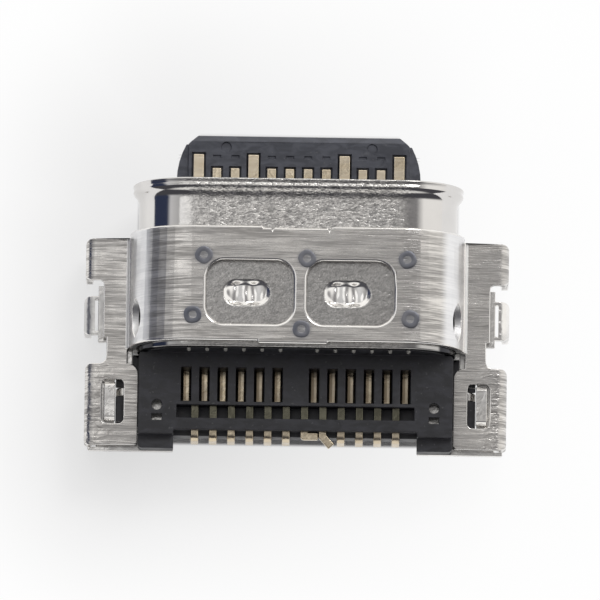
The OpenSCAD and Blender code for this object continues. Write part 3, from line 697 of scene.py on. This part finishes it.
def gilt(t, position):
    axis = t.split(position)
    fluxed = t.ramp(axis[1], FLUX_FROM, FLUX_TO)
    trough_shade = t.band(axis[1], TROUGH_BACK, TROUGH_FRONT, TROUGH_SOFT)
    across = t.math("FRACT", t.math("DIVIDE", axis[0], TAIL_PITCH))
    tail_shade = t.times(t.ramp(across, LIT_HALF, SHADED_HALF),
                   t.band(axis[1], TAILS_BACK, TAILS_FRONT, TAILS_SOFT))
    cloud = use_group(t, HANDLING, position)["Cloud"]
    waves = use_group(t, WAVES, position)
    streaks = use_group(t, STREAKS, position, Contrast=2.0)
    colour = t.mix(streaks["Mask"], GOLD_DARK, GOLD_LIGHT)
    colour = t.mix(t.times(cloud, TARNISH_SHARE), colour, TARNISH)
    colour = t.mix(t.times(fluxed, FLUX_SHARE), colour, FLUX)
    colour = t.mix(t.times(tail_shade, PAINTED_TAIL_SHADE_SHARE), colour, PAINTED_TAIL_SHADE)
    colour = t.mix(trough_shade, colour, t.mix(cloud, TROUGH_SHADE_DARK, TROUGH_SHADE_LIGHT))
    return {"Base_Color": colour, "Roughness": t.ramp(cloud, 0, 1, *GOLD_ROUGH),
            "Normal": bump(t, waves["Dents"], GOLD_DENTS)}


FINISH["gilt_contact"] = make_material("gilt", gilt, Metallic=1.0)

# %% [markdown]
# ### Black nylon
# The housing is black nylon with glass fibres in it, which is never quite black: it is mottled
# where the melt flowed. The tongue is painted paler and bluer, as a painted sheen, dust leaves
# pale specks, and the tops of the small ribs behind the cover are painted pale.

# %% Black nylon
SHEEN_FROM, SHEEN_TO = -0.8 * MM, 0.1 * MM
RIBS_BACK_OF = -4.672 * MM
RIBS_ABOVE = 0.85 * MM
NYLON_DARK, NYLON_LIGHT = (0.021, 0.021, 0.025, 1), (0.038, 0.038, 0.046, 1)
# Painted sheen: the tongue is coloured paler and bluer than the rest of the housing.
PAINTED_SHEEN_DARK, PAINTED_SHEEN_LIGHT = (0.050, 0.053, 0.068, 1), (0.088, 0.093, 0.115, 1)
DUST, DUST_SHARE = grey(0.2), 0.3
# The tops of the small ribs behind the cover are coloured pale.
PALE_RIB_TOPS = (0.55, 0.54, 0.50, 1)
NYLON_ROUGH = (0.40, 0.54)
NYLON_GRAIN = 0.004 * MM


def black_nylon(t, position):
    axis = t.split(position)
    tongue_sheen = t.ramp(axis[1], SHEEN_FROM, SHEEN_TO)
    pale_rib_tops = t.times(t.math("LESS_THAN", axis[1], RIBS_BACK_OF),
                      t.math("GREATER_THAN", axis[2], RIBS_ABOVE))
    grain = use_group(t, GRAIN, position)
    specks = use_group(t, HANDLING, position)["Specks"]
    colour = t.mix(grain["Flow"], NYLON_DARK, NYLON_LIGHT)
    colour = t.mix(tongue_sheen, colour, t.mix(grain["Flow"], PAINTED_SHEEN_DARK, PAINTED_SHEEN_LIGHT))
    colour = t.mix(t.times(specks, DUST_SHARE), colour, DUST)
    colour = t.mix(pale_rib_tops, colour, PALE_RIB_TOPS)
    return {"Base_Color": colour, "Roughness": t.ramp(grain["Flow"], 0, 1, *NYLON_ROUGH),
            "Normal": bump(t, grain["Height"], NYLON_GRAIN)}


FINISH["black_nylon"] = make_material("black_nylon", black_nylon)
FINISH["carrier_nylon"] = make_material("carrier_nylon", black_nylon)

# %% [markdown]
# ## Finished copies of the solids
# A stamped sheet or a moulding has no perfectly sharp edge, and it is the small round on each
# edge that draws the bright lines seen on a real part. So each solid is copied, its flat
# facets are joined into whole faces, and a narrow bevel runs along every edge sharper than the
# facets of the curves. Rounding the edges in the solids would spoil their exact faces.

# %% Helpers for pieces
FACET_ANGLE = math.radians(24)
SAME_PLANE = math.radians(0.5)
SAME_PLACE = 0.0004 * MM


def add_piece(name, mesh, replaced):
    """Puts a mesh in the scene as a piece of the socket that stands for the named solids."""
    piece = bpy.data.objects.new(name, mesh)
    scene.collection.objects.link(piece)
    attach(piece, "root")
    if replaced:
        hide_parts(*replaced)
    return piece


def tell(piece):
    print(piece.name, len(piece.data.polygons), "faces")


def set_normals(mesh, crease=FACET_ANGLE):
    """Smooth shading, with a crease along every edge sharper than the given angle."""
    mesh.polygons.foreach_set("use_smooth", [True] * len(mesh.polygons))
    mesh.set_sharp_from_angle(angle=crease)


# %% [markdown]
# ### Rounding the edges
# The bevel is a modifier, applied at once so that the piece keeps only plain faces. Its width
# can differ from edge to edge, by a weight that is written on each edge first. Where several
# narrow rounds meet, the bevel turns the normal of a corner inside out now and then, which
# would show as a dark wedge, so those are mended afterwards.

# %% Helpers for rounding
LEAST_FACING = 0.5
# Numbers of the second and third finish on a piece: that of its rounds and of its patch.
ROUNDS, PATCH = 1, 2


def clean_copy(node, split):
    """A solid's mesh with whole flat faces. split(face) says which have to be free of hollows."""
    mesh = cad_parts[node].data.copy()
    mesh.materials.clear()
    bm = bmesh.new()
    bm.from_mesh(mesh)
    bmesh.ops.remove_doubles(bm, verts=bm.verts, dist=SAME_PLACE)
    bmesh.ops.dissolve_limit(bm, angle_limit=SAME_PLANE, verts=bm.verts, edges=bm.edges)
    if split:
        bmesh.ops.connect_verts_concave(bm, faces=[face for face in bm.faces if split(face)])
    bm.to_mesh(mesh)
    bm.free()
    return mesh


def weigh_edges(mesh, width, rule):
    """Gives each sharp edge the share of the bevel that rule(middle, length) asks for."""
    bm = bmesh.new()
    bm.from_mesh(mesh)
    weight = bm.edges.layers.float.new("bevel_weight_edge")
    for edge in bm.edges:
        if len(edge.link_faces) == 2 and edge.calc_face_angle() > FACET_ANGLE:
            middle = (edge.verts[0].co + edge.verts[1].co) / 2
            edge[weight] = rule(middle, edge.calc_length()) / width
    bm.to_mesh(mesh)
    bm.free()


def round_edges(piece, width, segments, limit_method):
    bevel = piece.modifiers.new("edges", "BEVEL")
    bevel.width = width
    bevel.segments = segments
    bevel.limit_method = limit_method
    bevel.angle_limit = FACET_ANGLE
    bevel.use_clamp_overlap = False
    bevel.harden_normals = True
    bevel.material = ROUNDS
    bpy.context.view_layer.update()
    graph = bpy.context.evaluated_depsgraph_get()
    made = bpy.data.meshes.new_from_object(piece.evaluated_get(graph))
    piece.modifiers.clear()
    piece.data = made


def mend_normals(mesh):
    """A corner whose normal points away from its face takes the normal of the face."""
    normals = []
    for face in mesh.polygons:
        for corner in face.loop_indices:
            normal = mesh.corner_normals[corner].vector.copy()
            facing = normal.dot(face.normal) > LEAST_FACING
            normals.append(normal if facing else face.normal.copy())
    mesh.normals_split_custom_set(normals)


def dress(node, slot, width, edge=None, segments=2, rule=None, patch=None, split=None):
    """A finished copy of one solid, with its edges rounded by the given width.

    edge is the finish of the rounds. rule(middle, length) gives the width on one edge,
    patch(middle, normal) says which faces get the painted highlight, and split(face) says which
    are split until they have no hollow corner."""
    mesh = clean_copy(node, split)
    mesh.materials.append(FINISH[slot])
    mesh.materials.append(edge or FINISH[slot])
    if rule:
        weigh_edges(mesh, width, rule)
    set_normals(mesh)
    piece = add_piece(node + "_finished", mesh, [node])
    round_edges(piece, width, segments, "WEIGHT" if rule else "ANGLE")
    mend_normals(piece.data)
    if patch:
        piece.data.materials.append(PAINTED_BEND_HIGHLIGHT)
        for face in piece.data.polygons:
            if patch(face.center, face.normal):
                face.material_index = PATCH
    tell(piece)


# %% [markdown]
# ### Cover
# The punch leaves its widest rounds at the windows, narrower ones along the cover's other
# edges and the wings, and hardly any in the notches and underneath. The rounds are sheared
# steel. The hollow bend where each flank turns out into its wing carries a painted highlight:
# a pale, partly matt finish that stands in for the bright line along it.

# %% Cover
ROUND_SHEET = 0.085 * MM
ROUND_COVER = 0.06 * MM
ROUND_WING = 0.033 * MM
ROUND_SMALL = 0.022 * MM
SHORT_EDGE = 0.13 * MM
WINDOW_X = 3 * MM
WINDOW_Y = -3.2 * MM
WINDOW_REACH = 0.95 * MM
WING_TOP = 0.05 * MM
FLANK_FOOT = 4.5 * MM
BEND_RADIUS = 0.12 * MM
NEARLY_UPRIGHT, NEARLY_LEVEL = 0.05, 0.995
HARDLY_FORWARD = 0.3
cover_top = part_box("outer_bracket")[1].z


def bracket_rounding(middle, length):
    on_top = middle.z > cover_top - SAME_PLACE
    if on_top and abs(middle.y - WINDOW_Y) < WINDOW_REACH and abs(middle.x) < WINDOW_X:
        return ROUND_SHEET
    if length < SHORT_EDGE or middle.z < 0.0:
        return ROUND_SMALL
    return ROUND_COVER if middle.z > cover_top / 2 else ROUND_WING


def in_bend(middle, normal):
    """A face of the hollow bend, which slopes and hardly faces forward or back."""
    low = WING_TOP < middle.z < WING_TOP + BEND_RADIUS
    near = FLANK_FOOT < abs(middle.x) < FLANK_FOOT + 2 * BEND_RADIUS
    slopes = NEARLY_UPRIGHT < normal.z < NEARLY_LEVEL and abs(normal.y) < HARDLY_FORWARD
    return low and near and slopes


dress("outer_bracket", "bracket_steel", ROUND_SHEET, SHEARED, 3, bracket_rounding, in_bend)

# %% [markdown]
# ### Plates
# The other two stampings are mostly hidden, so one narrow round does for all of their edges.

# %% Plates
dress("lower_bracket", "plate_steel", ROUND_SMALL, SHEARED)
dress("mid_plate", "plate_steel", ROUND_SMALL, SHEARED)

# %% [markdown]
# ### Housing
# A mould's edges are sharp, so the nylon's rounds are narrow and have no finish of their own.
# The floors round the tails are single faces with many hollow corners, which a bevel would
# fill wrongly, so they are split into simple faces first.

# %% Housing
ROUND_PLASTIC = 0.02 * MM
TAILS_SHOW = -4.9 * MM
SLOT_FLOORS = 0.3 * MM
LEVEL = 0.9


def in_slots(face):
    """The floors below the housing's top, round the tails."""
    middle = face.calc_center_median()
    return middle.y < TAILS_SHOW and middle.z < SLOT_FLOORS and abs(face.normal.z) > LEVEL


dress("housing", "black_nylon", ROUND_PLASTIC, split=in_slots)

# %% [markdown]
# ### Contacts
# The contacts are stamped from strip so thin that gilding rounds its edges. The front tails
# look rounder than the rest, so on that row the width depends on the place: wide on the long
# edges of the tails, and very narrow where the strip is buried in the nylon. That row steps
# sideways, which makes hollow corners in its faces, so all of them are split.

# %% Contacts
ROUND_TONGUE_CONTACT = 0.03 * MM
ROUND_TAIL = 0.05 * MM
ROUND_BURIED = 0.008 * MM
TAIL_EDGE = 0.3 * MM
TONGUE_BACK = -1 * MM


def tail_rounding(middle, length):
    if middle.y < TAILS_SHOW and length > TAIL_EDGE:
        return ROUND_TAIL
    on_tongue = middle.y > TONGUE_BACK and length > TAIL_EDGE
    return ROUND_TONGUE_CONTACT if on_tongue else ROUND_BURIED


def every_face(face):
    return True


for node in sorted(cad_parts):
    if node.startswith("contact_a"):
        dress(node, "gilt_contact", ROUND_TONGUE_CONTACT)
    elif node.startswith("contact_b"):
        dress(node, "gilt_contact", ROUND_TAIL, segments=3, rule=tail_rounding, split=every_face)

# %% [markdown]
# ### Carriers
# The two carriers are buried in the tongue, so the solids themselves do, with nylon on them.

# %% Carriers
for node in ("upper_carrier", "lower_carrier"):
    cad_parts[node].data.materials.clear()
    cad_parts[node].data.materials.append(FINISH["carrier_nylon"])
    print(node, "has", FINISH["carrier_nylon"].name)

# %% [markdown]
# ## Drawn shell
# The shell is one sheet, drawn to an oblong tube, flared at the mouth and pressed in at two
# grounding dimples. A bevel can't give the soft curves of drawn metal, so the shell is made
# again as a closed grid: a section through the sheet, with the coined bead of its lip, is
# carried round the oblong.

# %% Shell sizes
SHELL_WALL = 0.2 * MM
FLARE = 0.17 * MM
FLARE_RIM = 0.2 * MM
FLARE_RADIUS = 0.35 * MM
MOUTH_ROUND = 0.18 * MM
LIP_ROUND = 0.035 * MM
REAR_ROUND = 0.04 * MM
DIMPLE_W = 1.33 * MM
DIMPLE_L = 0.77 * MM
DIMPLE_X = 1.375 * MM
DIMPLE_Y = -3.17 * MM
FINE_STEP = 0.022 * MM
COARSE_STEP = 0.2 * MM
DIMPLE_MARGIN = 2 * FINE_STEP

shell_low, shell_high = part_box("inner_shell")
flange_r = shell_high.z
shell_end_x = shell_high.x - flange_r
shell_r = flange_r - FLARE
shell_rear = -shell_low.y
print("shell radius in mm:", round(shell_r / MM, 3), "end at", round(shell_end_x / MM, 3))

# %% [markdown]
# ### Section through the sheet
# The section is a list of points, each a distance behind the mouth and a radius. They go from
# the rear edge along the outside, out over the flare and the bead, round the lip and back along
# the inside. They stand close together only where the dimples will be.

# %% Section through the sheet
# The share of the flare's turn that comes before the bead, and the direction of the lip after.
FLARE_SHARE = 0.8
LIP_START = 70
# How far each point of the bead lies behind the mouth and below the rim, in mm.
COINED_BEAD = [(0.221, 0.01225), (0.186, 0.0077), (0.13, 0.03), (0.11, 0.03)]


def arc(centre, radius, start, end, count):
    """Points of an arc between two directions in degrees, with both its ends."""
    turns = [math.radians(start + (end - start) * i / count) for i in range(count + 1)]
    return [(centre[0] + radius * math.cos(a), centre[1] + radius * math.sin(a)) for a in turns]


def line(start, end, step):
    """Points from a place to another, without the first, about a step apart."""
    count = max(1, round(math.dist(start, end) / step))
    between = [(start[0] + (end[0] - start[0]) * i / count,
                start[1] + (end[1] - start[1]) * i / count) for i in range(1, count)]
    return between + [end]


def shell_section():
    inner_r = shell_r - SHELL_WALL
    fillet_foot = FLARE_RIM + FLARE_RADIUS
    fillet_turn = math.degrees(math.acos(1 - FLARE / FLARE_RADIUS)) * FLARE_SHARE
    dimple_start = -DIMPLE_Y - DIMPLE_L / 2 - DIMPLE_MARGIN
    dimple_end = dimple_start + DIMPLE_L + 2 * DIMPLE_MARGIN
    points = arc((shell_rear - REAR_ROUND, shell_r - REAR_ROUND), REAR_ROUND, 0, 90, 4)
    points += line(points[-1], (dimple_end, shell_r), COARSE_STEP)
    points += line(points[-1], (dimple_start, shell_r), FINE_STEP)
    points += line(points[-1], (fillet_foot, shell_r), COARSE_STEP)[:-1]
    points += arc((fillet_foot, shell_r + FLARE_RADIUS), FLARE_RADIUS, -90, -90 - fillet_turn, 8)
    points += [(back * MM, flange_r - depth * MM) for back, depth in COINED_BEAD]
    points += arc((LIP_ROUND, flange_r - LIP_ROUND), LIP_ROUND, LIP_START, 180, 5)
    points += arc((MOUTH_ROUND, inner_r + MOUTH_ROUND), MOUTH_ROUND, 180, 270, 8)
    points += line(points[-1], (dimple_start, inner_r), COARSE_STEP)
    points += line(points[-1], (dimple_end, inner_r), 2 * FINE_STEP)
    points += line(points[-1], (shell_rear, inner_r), COARSE_STEP)
    return points


section = shell_section()
print("points round the section:", len(section))

# %% [markdown]
# ### Way round the oblong
# Each step of the way is a centre in X and the direction in which the section stands there. On
# the flats the centre moves, and round the ends the direction turns.

# %% Way round the oblong
END_STEPS = 48
UNDERSIDE_STEPS = 12
PLAIN_STEPS = 6


def steps(start, end, count):
    """Even steps from a place to another, without the last."""
    return [start + (end - start) * i / count for i in range(count)]


def top_stops():
    """Places across the top: close together over the dimples and far apart elsewhere."""
    stops = []
    edge = -shell_end_x
    for centre in (-DIMPLE_X, DIMPLE_X):
        low = centre - DIMPLE_W / 2 - DIMPLE_MARGIN
        high = centre + DIMPLE_W / 2 + DIMPLE_MARGIN
        stops += steps(edge, low, PLAIN_STEPS)
        stops += steps(low, high, round((high - low) / FINE_STEP))
        edge = high
    return stops + steps(edge, shell_end_x, PLAIN_STEPS)


def oblong_way():
    up = math.pi / 2
    way = [(x, up) for x in top_stops()]
    way += [(shell_end_x, turn) for turn in steps(up, -up, END_STEPS)]
    way += [(x, -up) for x in steps(shell_end_x, -shell_end_x, UNDERSIDE_STEPS)]
    way += [(-shell_end_x, turn) for turn in steps(-up, -3 * up, END_STEPS)]
    return way


way = oblong_way()
print("sections round the oblong:", len(way))

# %% [markdown]
# ### Dimples
# A dull punch leaves soft walls and an uneven floor. The floor is two crossing ripples, which
# fade out up the walls. The sheet goes down by the same amount on both its faces.

# %% Dimples
DIMPLE_DEPTH = 0.1 * MM
DIMPLE_WALL = 0.17 * MM
DIMPLE_RIPPLE = 0.03 * MM
RIPPLE_PITCH = 0.5 * MM
RIPPLE_START = 0.6
CROSS_SHARE = 0.4
CROSS_PITCH_X = 1.3 * MM
CROSS_PITCH_Y = 0.6 * MM
PRESSED_DROP = 0.01 * MM


def dimple_drop(x, y):
    """How far the top of the shell is pressed in at a place."""
    centre = math.copysign(DIMPLE_X, x)
    u, v = x - centre, y - DIMPLE_Y
    away = math.hypot(max(0.0, abs(u) - (DIMPLE_W - DIMPLE_L) / 2), v)
    share = min(1.0, max(0.0, (DIMPLE_L / 2 - away) / DIMPLE_WALL))
    share = share * share * (3 - 2 * share)
    ripple = math.cos(2 * math.pi * (u / RIPPLE_PITCH + RIPPLE_START))
    ripple += CROSS_SHARE * math.sin(2 * math.pi * (v / CROSS_PITCH_Y + u / CROSS_PITCH_X))
    return share * (DIMPLE_DEPTH + share * DIMPLE_RIPPLE * ripple)


print("drop at a dimple's middle in mm:", round(dimple_drop(DIMPLE_X, DIMPLE_Y) / MM, 3))

# %% [markdown]
# ### The grid
# One ring of corners stands at each step of the way, and each ring is joined to the next.

# %% Make the shell
SHELL_CREASE = math.radians(50)


def join_rings(bm, ring, after):
    """A band of four-cornered faces between two closed rings of as many corners."""
    for i in range(len(ring)):
        j = (i + 1) % len(ring)
        bm.faces.new((ring[i], after[i], after[j], ring[j]))


def new_mesh(bm, name, *materials):
    mesh = bpy.data.meshes.new(name)
    bm.to_mesh(mesh)
    bm.free()
    for material in materials:
        mesh.materials.append(material)
    return mesh


def shell_ring(bm, centre, turn):
    """The section's corners at one step. On the top they go down with the dimples."""
    ring = []
    for back, radius in section:
        place = Vector((centre + radius * math.cos(turn), -back, radius * math.sin(turn)))
        if turn == math.pi / 2 and radius < shell_r + SHELL_WALL / 4:
            place.z -= dimple_drop(place.x, place.y)
        ring.append(bm.verts.new(place))
    return ring


def make_shell():
    bm = bmesh.new()
    rings = [shell_ring(bm, centre, turn) for centre, turn in way]
    for ring, after in zip(rings, rings[1:] + rings[:1]):
        join_rings(bm, ring, after)
    bmesh.ops.recalc_face_normals(bm, faces=bm.faces)
    mesh = new_mesh(bm, "inner_shell_finished", FINISH["shell_steel"], PRESSED)
    for face in mesh.polygons:
        drop = dimple_drop(face.center.x, face.center.y)
        face.material_index = int(face.center.z > 0 and drop > PRESSED_DROP)
    set_normals(mesh, SHELL_CREASE)
    tell(add_piece("inner_shell_finished", mesh, ["inner_shell"]))


make_shell()

# %% [markdown]
# ## Spot welds
# Six spots join the cover to the shell. Each is a shallow crater with a raised ring of scale
# round it, so each is turned like a pot from a few radii and heights, and laid on the cover.

# %% Spot welds
# Radius and height above the cover, in mm.
WELD_RING = [(0.11, 0.0010), (0.135, 0.0045), (0.165, 0.0060), (0.20, 0.0050),
             (0.235, 0.0025), (0.25, -0.004)]
WELD_SIDES = 40
WELD_LOBES = 4
WELD_WOBBLE = 0.03


def weld_ring(bm, number, x, y, radius, height):
    """One closed ring of corners round a weld. Each weld is uneven in its own way."""
    ring = []
    for i in range(WELD_SIDES):
        a = 2 * math.pi * i / WELD_SIDES
        r = radius * MM * (1 + WELD_WOBBLE * math.sin(WELD_LOBES * a + number))
        ring.append(bm.verts.new((x * MM + r * math.cos(a), y * MM + r * math.sin(a),
                                  cover_top + height * MM)))
    return ring


def make_weld(number, x, y):
    bm = bmesh.new()
    rings = [weld_ring(bm, number, x, y, radius, height) for radius, height in WELD_RING]
    bm.faces.new(rings[0]).material_index = 1
    for inner, outer in zip(rings, rings[1:]):
        join_rings(bm, inner, outer)
    bm.faces.new(list(reversed(rings[-1])))
    mesh = new_mesh(bm, "spot_weld", HEAT_SCALE, FINISH["bracket_steel"])
    set_normals(mesh)
    tell(add_piece("spot_weld_" + str(number), mesh, []))


for number, (x, y) in enumerate(WELDS, 1):
    make_weld(number, x, y)
